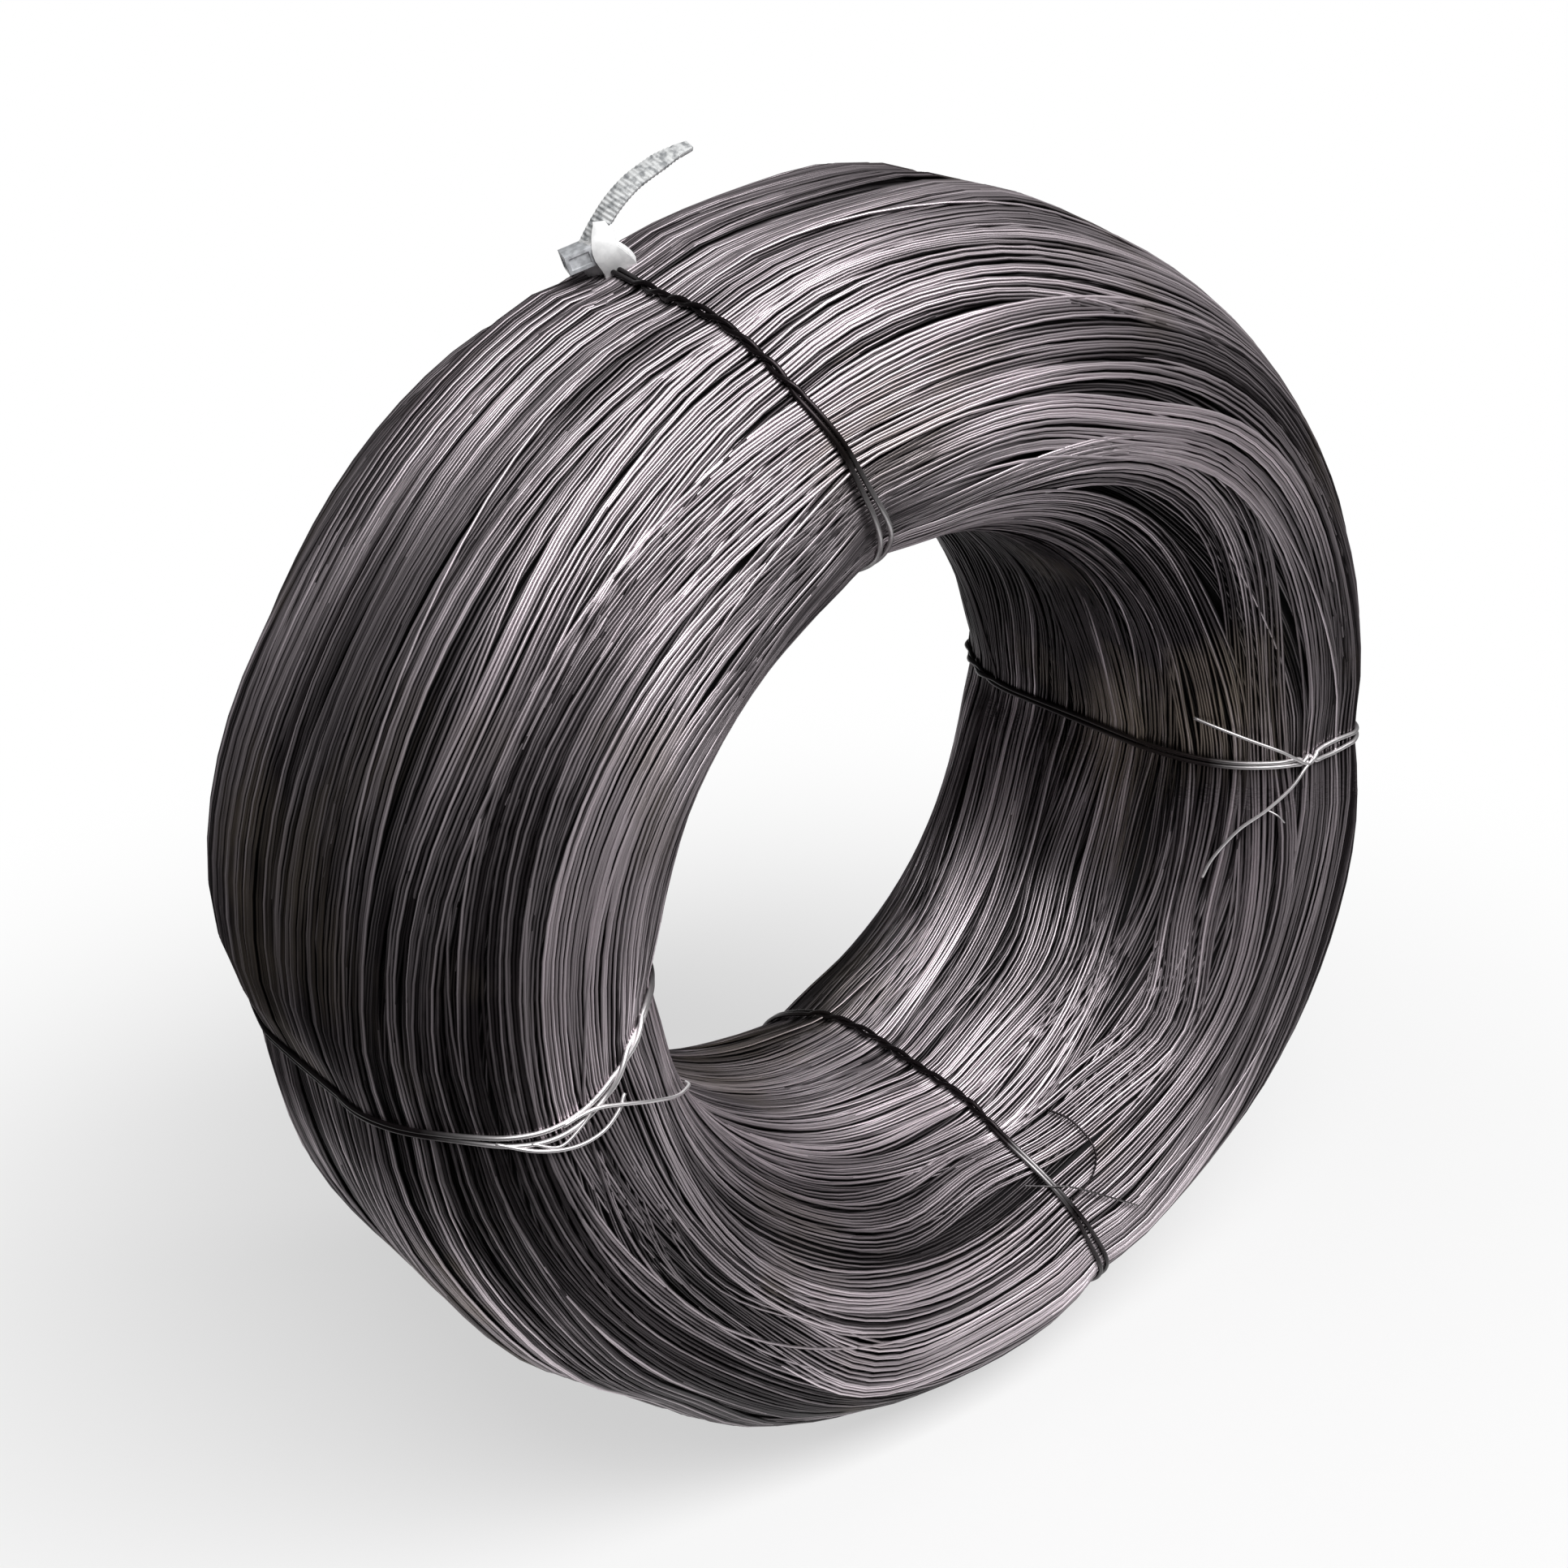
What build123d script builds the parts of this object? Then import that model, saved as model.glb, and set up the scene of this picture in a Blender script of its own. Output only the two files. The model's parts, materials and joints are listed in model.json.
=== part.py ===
from build123d import *
from math import atan, cos, degrees, radians, sin, tan
import os

# Coil of soft black annealed binding wire: one long wire wound into a thick ring, held by
# four wire ties, with a nylon cable tie closed round the top one. Millimetres, +Z up.
# The coil stands on its rim. Its bore runs along Y and its front end faces -Y.

# The wound ring
outer_diameter = 318
bore_diameter = 162
coil_width = 134
bore_land = 44
rim_land = 34
end_land = 12
shoulder_share = 0.6

# Its turns lie in rounded bundles, side by side round the section
bundle_width = 12
bundle_depth = 1.3

# The wire ties: each is one wire wound twice round the ring, with its two ends left loose
tie_wire_diameter = 1.2
strand_overlap = 0.1
tie_clearance = 0.05
groove_side_gap = 0.5

# The ties' grooves are cut to below the valleys between the bundles, so their floors are whole
seat_depth = 0.25

# The loose ends stand off the ring, and their bends are rounded
foot_gap = 1.3
tip_gap = 2.3
end_runs = 3
foot_bend_inside = 0.5
end_bend_radius = 9

# The nylon cable tie
strap_width = 4.8
strap_thickness = 1.2
loop_gap = 0.3
pocket_gap = 0.3
head_length = 7.0
head_roof = 1.85
head_wall = 1.2
head_gap = 0.5
head_edge = 0.8
slot_side_gap = 0.2
slot_top_gap = 0.35
slot_depth = 2.0
tail_grip_length = 2.0
tail_run_length = 2.0
tail_angle = 40
tail_roll = 30
tail_bend_radius = 45
tail_sweep = 30
tip_length = 9
tip_width = 2.6

# Places round the ring, in degrees from +X towards +Z, and round the wire's cross-section,
# where a facing of 0 is the rim, 90 the front end and 180 the bore
cable_tie_back = 11

# Each tie: its place round the ring, where its ends come out, and where the two ends stop
tie_top_place = (111, -62, (118, -88), (103, -84))
tie_right_place = (4.5, 108, (13, 152), (-12, 145))
tie_bottom_place = (286, 84, (296, 112), (276, 66))
tie_left_place = (187, 88, (207, 163), (179, 118))

outer_radius = outer_diameter / 2
bore_radius = bore_diameter / 2
middle_radius = (outer_radius + bore_radius) / 2
half_width = coil_width / 2
strand_radius = tie_wire_diameter / 2
strand_shift = strand_radius - strand_overlap / 2
groove_depth = bundle_depth + seat_depth
groove_width = 2 * (strand_shift + strand_radius + groove_side_gap)
strand_height = strand_radius + tie_clearance - groove_depth
foot_height = strand_radius + foot_gap
tip_height = strand_radius + tip_gap

# The ring's own plane: x to the right, y up and z out of the front end
coil_plane = Plane(origin=(0, 0, 0), x_dir=(1, 0, 0), z_dir=(0, -1, 0))
coil_axis = Axis(coil_plane.origin, coil_plane.z_dir)


def shoulder_arcs(land):
    """Turn of the wide arc beside a land on the rim or bore, its radius and the tight one's."""
    along = half_width - land / 2
    across = outer_radius - middle_radius - end_land / 2
    turn = 2 * atan(shoulder_share * across / along)
    shared = sin(turn) + cos(turn) - 1
    wide = (cos(turn) * along - (1 - sin(turn)) * across) / shared
    tight = (sin(turn) * across - (1 - cos(turn)) * along) / shared
    return degrees(turn), wide, tight


rim_turn, rim_wide, rim_tight = shoulder_arcs(rim_land)
bore_turn, bore_wide, bore_tight = shoulder_arcs(bore_land)


def radial_plane(around):
    """Plane through the bore's axis: x out along the radius and y out of the front end."""
    outwards = coil_plane.x_dir.rotate(coil_axis, around)
    return Plane(coil_plane.origin, x_dir=outwards, z_dir=outwards.cross(coil_plane.z_dir))


def section_line(plane, height):
    """Closed outline of the ring's section, a height outside its skin, in a radial plane."""
    turns = (
        (rim_land, rim_wide, rim_tight, rim_turn),
        (end_land, bore_tight, bore_wide, 90 - bore_turn),
        (bore_land, bore_wide, bore_tight, bore_turn),
        (end_land, rim_tight, rim_wide, 90 - rim_turn),
    )
    with BuildLine(plane) as outline:
        start = plane.from_local_coords(Vector(outer_radius + height, -rim_land / 2, 0))
        heading = plane.y_dir
        for land, first, second, turn in turns:
            flat = Line(start, start + heading * land)
            near = JernArc(flat @ 1, heading, first + height, turn)
            far = JernArc(near @ 1, near % 1, second + height, 90 - turn)
            start = far @ 1
            heading = far % 1
    return outline.wire()


def skin_way(skin, walked):
    """Direction of the section's outline, a distance along it from its start."""
    return skin % (walked / skin.length % 1)


def skin_at(skin, walked, depth=0):
    """Point below the section's outline, a distance along it from its start."""
    inwards = skin_way(skin, walked).rotate(Axis.Z, 90)
    return skin @ (walked / skin.length % 1) + inwards * depth


def bundled_line():
    """Closed outline of the ring's section: plain lands on the ends and in the bore, and the
    rounded backs of bundles, which reach the skin, from land to land between them."""
    skin = section_line(Plane.XY, 0)
    rim_shoulder = radians(rim_turn) * rim_wide + radians(90 - rim_turn) * rim_tight
    bore_shoulder = radians(bore_turn) * bore_wide + radians(90 - bore_turn) * bore_tight
    stretches = (
        (end_land, bore_shoulder),
        (bore_land, bore_shoulder),
        (end_land, rim_shoulder + rim_land + rim_shoulder),
    )
    walked = rim_land + rim_shoulder
    with BuildLine() as outline:
        for land, bundled in stretches:
            leave = walked + land
            arrive = leave + bundled
            count = max(1, round(bundled / bundle_width))
            backs = [leave + bundled * number / count for number in range(count)]
            valleys = [skin_at(skin, back + bundled / count / 2, bundle_depth) for back in backs]
            Line(skin_at(skin, walked), skin_at(skin, leave))
            TangentArc(skin_at(skin, leave), valleys[0], tangent=skin_way(skin, leave))
            for before, back, after in zip(valleys, backs[1:], valleys[1:]):
                ThreePointArc(before, skin_at(skin, back), after)
            TangentArc(skin_at(skin, arrive), valleys[-1], tangent=-skin_way(skin, arrive))
            walked = arrive
    return outline.wire()


def skin_point(around, facing, height, aside=0):
    """Point a height over the ring's skin, where the skin faces a given way."""
    steep = abs(facing)
    side = 1 if facing >= 0 else -1
    if steep < rim_turn:
        radius, centre, back = rim_wide, outer_radius - rim_wide, rim_land / 2
    elif steep < 90:
        radius, centre, back = rim_tight, middle_radius + end_land / 2, half_width - rim_tight
    elif steep < 180 - bore_turn:
        radius, centre, back = bore_tight, middle_radius - end_land / 2, half_width - bore_tight
    else:
        radius, centre, back = bore_wide, bore_radius + bore_wide, bore_land / 2
    out = centre + (radius + height) * cos(radians(facing))
    front = side * back + (radius + height) * sin(radians(facing))
    return radial_plane(around).from_local_coords(Vector(out, front, aside))


def bent_wire_line(points, radii):
    """Straight runs through the points, with a tangent arc of a given radius at each bend."""
    with BuildLine() as route:
        start = points[0]
        for before, corner, after, radius in zip(points, points[1:], points[2:], radii):
            coming = (corner - before).normalized()
            going = (after - corner).normalized()
            trim = radius * tan(radians(coming.get_angle(going)) / 2)
            Line(start, corner - coming * trim)
            arc = TangentArc(corner - coming * trim, corner + going * trim, tangent=coming)
            start = arc @ 1
        Line(start, points[-1])
    return route.wire()


def loose_end(around, facing, tip, aside):
    """Round wire from a tie's strand, out of its groove and over the skin to its tip."""
    points = [
        skin_point(around, facing, strand_height, aside),
        skin_point(around, facing, foot_height, aside),
    ]
    for run in range(1, end_runs + 1):
        share = run / end_runs
        there = around + (tip[0] - around) * share
        way = facing + (tip[1] - facing) * share
        points.append(skin_point(there, way, foot_height + (tip_height - foot_height) * share))
    bends = [strand_radius + foot_bend_inside] + [end_bend_radius] * (end_runs - 1)
    route = bent_wire_line(points, bends)
    with BuildPart() as end:
        with BuildSketch(Plane(origin=route @ 0, z_dir=route % 0)):
            Circle(strand_radius)
        sweep(path=route)
    return end.part


def wire_tie(place):
    """Two strands side by side round the ring's section, with their two loose ends."""
    around, facing, first_tip, second_tip = place
    plane = radial_plane(around)
    loop = section_line(plane, strand_height)
    first_end = loose_end(around, facing, first_tip, -strand_shift)
    second_end = loose_end(around, facing, second_tip, strand_shift)
    with BuildPart() as tie:
        with BuildSketch(Plane(origin=loop @ 0, x_dir=plane.z_dir, z_dir=loop % 0)):
            with Locations((-strand_shift, 0), (strand_shift, 0)):
                Circle(strand_radius)
        sweep(path=loop)
        add(first_end)
        add(second_end)
    return tie.part


# The loop of the cable tie closes round the top tie's strands: x runs back along the rim
# to the right, y out from the ring and z to the front
top_plane = radial_plane(tie_top_place[0])
loop_plane = Plane(
    origin=top_plane.from_local_coords(Vector(outer_radius + strand_height, -cable_tie_back, 0)),
    x_dir=top_plane.z_dir,
    z_dir=top_plane.y_dir,
)
loop_opening_x = 2 * (strand_shift + strand_radius + loop_gap)
loop_opening_y = tie_wire_diameter + 2 * loop_gap
loop_outer_x = loop_opening_x + 2 * strap_thickness
loop_outer_y = loop_opening_y + 2 * strap_thickness
slot_width = strap_width + 2 * slot_side_gap
slot_height = strap_thickness + 2 * slot_top_gap
head_width = slot_width + 2 * head_wall
head_height = slot_height + 2 * head_roof
head_right = -loop_opening_x / 2
head_foot = loop_opening_y / 2 + head_gap
head_middle = (head_right - head_length / 2, head_foot + head_height / 2)

# Wound ring
with BuildPart() as wire_coil:
    with BuildSketch(radial_plane(0)):
        with BuildLine():
            add(bundled_line())
        make_face()
    revolve(axis=coil_axis)
    with BuildSketch(loop_plane.offset(-strap_width / 2 - pocket_gap)):
        with Locations((0, loop_outer_y / 2)):
            Rectangle(loop_outer_x + 2 * pocket_gap, 2 * (loop_outer_y + pocket_gap))
    extrude(amount=strap_width + 2 * pocket_gap, mode=Mode.SUBTRACT)
    with BuildSketch(loop_plane):
        with Locations(head_middle):
            Rectangle(head_length + 2 * pocket_gap, head_height + 2 * pocket_gap)
    extrude(amount=head_width / 2 + pocket_gap, both=True, mode=Mode.SUBTRACT)
    for place in (tie_top_place, tie_right_place, tie_bottom_place, tie_left_place):
        groove_plane = radial_plane(place[0])
        with BuildSketch(groove_plane):
            with Locations((middle_radius, 0)):
                Rectangle(outer_diameter - bore_diameter, 2 * coil_width)
            with BuildLine():
                add(section_line(Plane.XY, -groove_depth))
            make_face(mode=Mode.SUBTRACT)
        extrude(amount=groove_width / 2, both=True, mode=Mode.SUBTRACT)

# Nylon cable tie: loop, head and tail moulded as one
tail_plane = Plane(
    origin=loop_plane.from_local_coords(Vector(head_right - tail_grip_length, head_middle[1], 0)),
    x_dir=loop_plane.x_dir,
    z_dir=loop_plane.z_dir.rotate(Axis(loop_plane.origin, loop_plane.x_dir), tail_roll),
)
slot_plane = Plane(
    origin=loop_plane.from_local_coords(Vector(head_right - head_length, head_middle[1], 0)),
    x_dir=loop_plane.z_dir,
    z_dir=-loop_plane.x_dir,
)
with BuildPart() as cable_tie:
    with BuildSketch(loop_plane):
        RectangleRounded(loop_outer_x, loop_outer_y, strap_thickness)
        Rectangle(loop_opening_x, loop_opening_y, mode=Mode.SUBTRACT)
    extrude(amount=strap_width / 2, both=True)
    with BuildSketch(loop_plane):
        with Locations(head_middle):
            RectangleRounded(head_length, head_height, head_edge)
    extrude(amount=head_width / 2, both=True)
    with BuildLine(tail_plane) as tail_route:
        lead = PolarLine((0, 0), tail_grip_length + tail_run_length, tail_angle)
        bend = JernArc(lead @ 1, lead % 1, tail_bend_radius, -tail_sweep)
        tip = Line(bend @ 1, bend @ 1 + (bend % 1) * tip_length)
    with BuildSketch(Plane(origin=lead @ 0, x_dir=tail_plane.z_dir, z_dir=lead % 0)):
        Rectangle(strap_width, strap_thickness)
    sweep(path=tail_route.line)
    with BuildSketch(Plane(origin=tip @ 1, x_dir=tip % 1, z_dir=(tip % 1).cross(tail_plane.z_dir))):
        for side in (1, -1):
            Polygon(
                (0, side * tip_width / 2),
                (0, side * strap_width),
                (-tip_length, side * strap_width),
                (-tip_length, side * strap_width / 2),
                align=None,
            )
    extrude(amount=strap_thickness, both=True, mode=Mode.SUBTRACT)
    with BuildSketch(slot_plane):
        Rectangle(slot_width, slot_height)
    extrude(amount=-slot_depth, mode=Mode.SUBTRACT)

wire_coil.part.label = "wire_coil"
cable_tie.part.label = "cable_tie"
os.makedirs("parts", exist_ok=True)
export_step(wire_coil.part, "parts/wire_coil.step")
export_step(cable_tie.part, "parts/cable_tie.step")

# Wire ties
tie_places = {
    "tie_top": tie_top_place,
    "tie_right": tie_right_place,
    "tie_bottom": tie_bottom_place,
    "tie_left": tie_left_place,
}
for name, place in tie_places.items():
    tie = wire_tie(place)
    tie.label = name
    export_step(tie, f"parts/{name}.step")
    print(name, "volume", round(tie.volume, 2), "solids", len(tie.solids()))
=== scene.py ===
"""Dresses the coil of black annealed binding wire: its turns, its wire ties and its cable tie."""
import json
import logging
import math
from dataclasses import dataclass, field
from enum import Enum

import bpy
import numpy as np
from bpy.types import Material, NodeSocket, Object, ShaderNode, ShaderNodeTree
from mathutils import Matrix, Vector


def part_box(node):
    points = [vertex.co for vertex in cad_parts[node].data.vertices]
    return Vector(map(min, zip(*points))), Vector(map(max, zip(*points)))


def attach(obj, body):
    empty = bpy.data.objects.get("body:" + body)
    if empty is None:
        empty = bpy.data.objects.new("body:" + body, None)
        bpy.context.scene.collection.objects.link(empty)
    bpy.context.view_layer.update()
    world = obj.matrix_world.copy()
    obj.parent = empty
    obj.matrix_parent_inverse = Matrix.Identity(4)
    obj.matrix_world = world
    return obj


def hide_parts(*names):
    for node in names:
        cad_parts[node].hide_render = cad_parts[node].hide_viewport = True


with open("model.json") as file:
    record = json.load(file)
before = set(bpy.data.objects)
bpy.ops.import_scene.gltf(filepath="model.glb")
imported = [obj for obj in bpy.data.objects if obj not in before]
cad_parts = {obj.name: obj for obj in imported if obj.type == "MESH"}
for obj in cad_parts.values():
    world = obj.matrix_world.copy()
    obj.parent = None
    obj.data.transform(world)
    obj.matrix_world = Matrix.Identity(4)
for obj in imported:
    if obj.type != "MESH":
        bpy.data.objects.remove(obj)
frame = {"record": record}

LOG = logging.getLogger("wire_coil")
ROOT_BODY = "root"
MM = 0.001
SEAM_MERGE = 0.01 * MM
TIP_MERGE = 0.001 * MM
FULL_TURN = 2 * math.pi
SAME_WAY = 0.9
ROUTE_STEPS = 24
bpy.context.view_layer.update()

Colour = tuple[float, float, float, float]
Triple = tuple[float, float, float]


class Slot(Enum):
    """Material slots of the record. The script does not use them."""

    ANNEALED_WIRE = "annealed_wire"
    TIE_WIRE = "tie_wire"
    NYLON = "nylon"


class Node(Enum):
    """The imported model's nodes that the pieces stand for."""

    WIRE_COIL = "wire_coil"
    TIE_TOP = "tie_top"
    TIE_RIGHT = "tie_right"
    TIE_BOTTOM = "tie_bottom"
    TIE_LEFT = "tie_left"
    CABLE_TIE = "cable_tie"


# Helpers for meshes and pieces


def deselect_all() -> None:
    """Leaves edit mode and clears the selection, so that operators act on new pieces alone."""
    if bpy.context.object is not None and bpy.context.object.mode != "OBJECT":
        bpy.ops.object.mode_set(mode="OBJECT")
    bpy.ops.object.select_all(action="DESELECT")


def active_object(name: str) -> Object:
    """Names the object that an operator has just added.

    Args:
        name: The piece's name.

    Returns:
        The active object, renamed with its mesh.
    """
    piece = bpy.context.object
    piece.name = name
    piece.data.name = name
    return piece


def select_only(piece: Object) -> None:
    """Makes a piece the active object and the only selected one.

    Args:
        piece: The object that the next operators act on.
    """
    deselect_all()
    piece.select_set(True)
    bpy.context.view_layer.objects.active = piece


def place_mesh(piece: Object, matrix: Matrix) -> None:
    """Moves a piece's mesh into the row frame and leaves its object at the origin.

    Args:
        piece: The object to place.
        matrix: From the piece's own axes to the row frame.
    """
    piece.data.transform(matrix @ piece.matrix_basis)
    piece.matrix_basis = Matrix.Identity(4)


def smooth_by_angle(piece: Object, degrees: float) -> None:
    """Shades a piece smooth, apart from edges sharper than an angle.

    Args:
        piece: The object to shade.
        degrees: The sharpest angle that still shades smooth.
    """
    select_only(piece)
    bpy.ops.object.shade_smooth_by_angle(angle=math.radians(degrees))


def finish_piece(piece: Object, node: Node, material: Material) -> None:
    """Dresses a piece, lets it ride on the part and stand for its node, and reports it.

    Args:
        piece: The finished object.
        node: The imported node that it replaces.
        material: The material that it wears.
    """
    piece.data.materials.clear()
    piece.data.materials.append(material)
    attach(piece, ROOT_BODY)
    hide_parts(node.value)
    triangles = sum(len(face.vertices) - 2 for face in piece.data.polygons)
    LOG.info("%s: %d triangles for %s", piece.name, triangles, node.value)


def linked_mesh(
    name: str,
    vertices: np.ndarray,
    quads: np.ndarray,
    values: dict[str, np.ndarray],
) -> Object:
    """Makes one smooth mesh object from arrays.

    Args:
        name: The piece's name.
        vertices: Corner positions in metres, one row each.
        quads: Four corner numbers a row.
        values: Float attributes by name, one value for each corner.

    Returns:
        The object, in the scene and at the origin.
    """
    mesh = bpy.data.meshes.new(name)
    mesh.vertices.add(len(vertices))
    mesh.vertices.foreach_set("co", vertices.astype(np.float32).ravel())
    mesh.loops.add(quads.size)
    mesh.loops.foreach_set("vertex_index", quads.astype(np.int32).ravel())
    mesh.polygons.add(len(quads))
    mesh.polygons.foreach_set("loop_start", np.arange(0, quads.size, 4, dtype=np.int32))
    mesh.polygons.foreach_set("use_smooth", np.ones(len(quads), dtype=bool))
    for key, column in values.items():
        attribute = mesh.attributes.new(key, "FLOAT", "POINT")
        attribute.data.foreach_set("value", column.astype(np.float32).ravel())
    mesh.update(calc_edges=True)
    piece = bpy.data.objects.new(name, mesh)
    bpy.context.scene.collection.objects.link(piece)
    return piece


# The ring's shape


@dataclass
class RingSection:
    """Section of the wound ring, as distances along its skin.

    A distance of 0 is the middle of the rim. Distances grow over the front end, through the
    bore and back over the far end.
    """

    outer_radius: float
    bore_radius: float
    half_width: float
    rim_land: float = 34 * MM
    bore_land: float = 44 * MM
    end_land: float = 12 * MM
    shoulder_share: float = 0.6
    samples: int = 40
    girth: float = field(init=False)
    table: np.ndarray = field(init=False)

    def __post_init__(self) -> None:
        """Steps round the section once and keeps distance, radius, front and facing."""
        rim_turn, rim_wide, rim_tight = self.shoulder(self.rim_land)
        bore_turn, bore_wide, bore_tight = self.shoulder(self.bore_land)
        quarter = math.pi / 2
        front_half = (
            (self.rim_land / 2, 0.0, 0.0),
            (0.0, rim_wide, rim_turn),
            (0.0, rim_tight, quarter - rim_turn),
            (self.end_land, 0.0, 0.0),
            (0.0, bore_tight, quarter - bore_turn),
            (0.0, bore_wide, bore_turn),
        )
        steps = front_half + ((self.bore_land, 0.0, 0.0),) + front_half[::-1]
        rows = [(0.0, self.outer_radius, 0.0, 0.0)]
        for length, radius, turn in steps:
            for _ in range(self.samples):
                walked, out, front, facing = rows[-1]
                advance = (length + radius * turn) / self.samples
                middle = facing + turn / self.samples / 2
                chord = advance if turn == 0 else 2 * radius * math.sin(turn / self.samples / 2)
                out -= chord * math.sin(middle)
                front += chord * math.cos(middle)
                rows.append((walked + advance, out, front, facing + turn / self.samples))
        self.table = np.array(rows)
        self.girth = float(self.table[-1, 0])

    def shoulder(self, land: float) -> tuple[float, float, float]:
        """Gives the two arcs that lead from a land to an end.

        Args:
            land: Length of the straight stretch on the rim or in the bore.

        Returns:
            Turn of the wide arc in radians, its radius and the tight arc's radius.
        """
        along = self.half_width - land / 2
        across = (self.outer_radius - self.bore_radius - self.end_land) / 2
        turn = 2 * math.atan(self.shoulder_share * across / along)
        shared = math.sin(turn) + math.cos(turn) - 1
        wide = (math.cos(turn) * along - (1 - math.sin(turn)) * across) / shared
        tight = (math.sin(turn) * across - (1 - math.cos(turn)) * along) / shared
        return turn, wide, tight

    def facing(self, walked: np.ndarray) -> np.ndarray:
        """Facing in radians at distances along the skin: 0 rim, half pi front, pi bore."""
        laps = np.floor(walked / self.girth)
        rest = walked - laps * self.girth
        return np.interp(rest, self.table[:, 0], self.table[:, 3]) + laps * FULL_TURN

    def points(
        self, around: np.ndarray, walked: np.ndarray, depth: np.ndarray
    ) -> tuple[np.ndarray, np.ndarray]:
        """Points under the skin and the skin's outward normals there.

        Args:
            around: Angles round the ring in radians, from +X towards +Z.
            walked: Distances along the skin.
            depth: How far below the skin each point lies, in metres.

        Returns:
            Positions and normals, with three columns more than the inputs.
        """
        rest = np.mod(walked, self.girth)
        out, front, facing = (
            np.interp(rest, self.table[:, 0], column) for column in self.table[:, 1:].T
        )
        normal = np.stack(
            [np.cos(facing) * np.cos(around), -np.sin(facing), np.cos(facing) * np.sin(around)],
            axis=-1,
        )
        place = np.stack([out * np.cos(around), -front, out * np.sin(around)], axis=-1)
        return place - normal * depth[..., None], normal


def degrees_apart(first: np.ndarray, second: np.ndarray | float) -> np.ndarray:
    """Signed difference of two angles in degrees, within half a turn either way."""
    return (first - second + 180) % 360 - 180


@dataclass(frozen=True)
class Profile:
    """A value that changes smoothly along the skin and comes back to where it starts.

    Each knot pairs a distance along the skin in millimetres with the value there.
    """

    knots: tuple[tuple[float, float], ...]
    blend: float = 7.0
    steps: int = 7

    def at(self, walked: np.ndarray, girth: float) -> np.ndarray:
        """Gives the value at distances along the skin.

        Args:
            walked: Distances in metres.
            girth: The way once round the section in metres.

        Returns:
            The blended values, shaped like the distances.
        """
        places = np.array([place for place, _ in self.knots]) * MM
        values = np.array([value for _, value in self.knots])
        shifts = np.linspace(-1, 1, self.steps) * self.blend * MM
        total = sum(np.interp(walked + shift, places, values, period=girth) for shift in shifts)
        return total / self.steps


@dataclass(frozen=True)
class SoftSpot:
    """A round-edged patch of the ring's skin, placed in degrees, and its value in the middle."""

    around: float
    facing: float
    value: float
    reach_around: float
    reach_facing: float

    def share(self, around: np.ndarray, facing: np.ndarray) -> np.ndarray:
        """The value's share at places given in degrees."""
        along = degrees_apart(around, self.around) / self.reach_around
        across = degrees_apart(facing, self.facing) / self.reach_facing
        return self.value * np.exp(-(along**2) - across**2)


@dataclass
class RingShape:
    """The ring as the ties pull it in and as it sags beside them."""

    section: RingSection
    ties: dict[Node, Profile]
    sags: tuple[SoftSpot, ...]
    pinch_depth: float = 1.9 * MM
    pinch_reach: float = 11 * MM

    def pull(self, around: np.ndarray, walked: np.ndarray, reach: float) -> np.ndarray:
        """How strongly the ties pull at places, from 0 far away to 1 under a tie.

        Args:
            around: Angles round the ring in radians.
            walked: Distances along the skin.
            reach: How far to the side a tie's pull reaches, in metres.

        Returns:
            The pull of the nearest tie at each place.
        """
        table = self.section.table
        radius = np.interp(np.mod(walked, self.section.girth), table[:, 0], table[:, 1])
        strongest = np.zeros(np.broadcast(around, walked).shape)
        for tie in self.ties.values():
            apart = degrees_apart(np.degrees(around), tie.at(walked, self.section.girth))
            gap = np.radians(apart) * radius
            strongest = np.maximum(strongest, np.exp(-((gap / reach) ** 2)))
        return strongest

    def sink(self, around: np.ndarray, walked: np.ndarray) -> np.ndarray:
        """How far the skin lies below the plain section, in metres.

        Args:
            around: Angles round the ring in radians.
            walked: Distances along the skin.

        Returns:
            Depths, positive inwards.
        """
        facing = np.degrees(self.section.facing(walked))
        total = self.pinch_depth * self.pull(around, walked, self.pinch_reach)
        for sag in self.sags:
            total = total + MM * sag.share(np.degrees(around), facing)
        return total

    def points(
        self, around: np.ndarray, walked: np.ndarray, depth: np.ndarray
    ) -> tuple[np.ndarray, np.ndarray]:
        """Points below the pulled-in skin, with the plain section's normals."""
        return self.section.points(around, walked, depth + self.sink(around, walked))


# Round wire


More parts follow.
